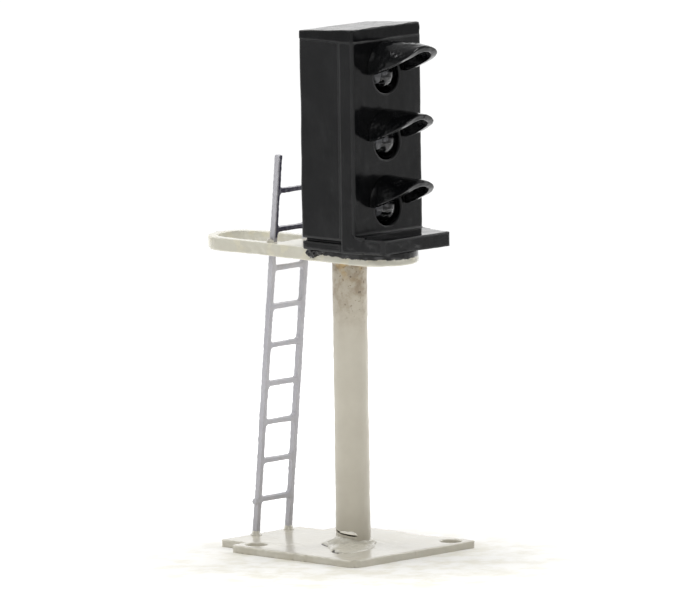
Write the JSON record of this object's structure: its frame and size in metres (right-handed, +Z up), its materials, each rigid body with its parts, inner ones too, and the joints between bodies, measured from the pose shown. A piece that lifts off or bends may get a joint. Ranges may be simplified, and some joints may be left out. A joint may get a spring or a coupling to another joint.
{
  "type": "model signal mast",
  "caption": "Model railway colour-light signal: tube mast on a square base, rear ladder through a hooped platform, and a black lamp box with peaked hoods.",
  "frame": {"origin": "mast axis at the underside of the base, which is the mouth of the wire outlet", "axes": "+Z up the mast, -Y the way the lamps face, +Y towards the ladder, +X to the right for somebody who faces the lamps"},
  "size_m": [0.0162, 0.0266, 0.0487],
  "materials": {
    "grey_paint": "satin warm grey enamel, brushed on by hand",
    "mast_paint": "satin warm grey enamel with brown flux specks at the top",
    "ladder_paint": "satin cool grey enamel",
    "painted_solder": "grey enamel over solder, bare in places",
    "black_paint": "gloss black enamel",
    "lamp_clear": "clear moulded lamp",
    "tinned_wire": "tinned"
  },
  "bodies": {
    "root": {"base_plate": "grey_paint", "mast_tube": "mast_paint", "mast_foot_solder": "painted_solder", "mast_top_solder": "painted_solder", "platform": "grey_paint", "ladder": "ladder_paint", "ladder_foot_solder": "painted_solder", "ladder_deck_solder": "painted_solder", "head_floor": "black_paint", "front_cover": "black_paint", "rear_casing": "black_paint", "roof_cap": "black_paint", "hood_upper": "black_paint", "hood_middle": "black_paint", "hood_lower": "black_paint", "led_upper": "lamp_clear", "led_middle": "lamp_clear", "led_lower": "lamp_clear", "led_leads_upper": "tinned_wire", "led_leads_middle": "tinned_wire", "led_leads_lower": "tinned_wire", "common_wire": "tinned_wire", "head_glue_bead": "black_paint"}
  },
  "joints": []
}
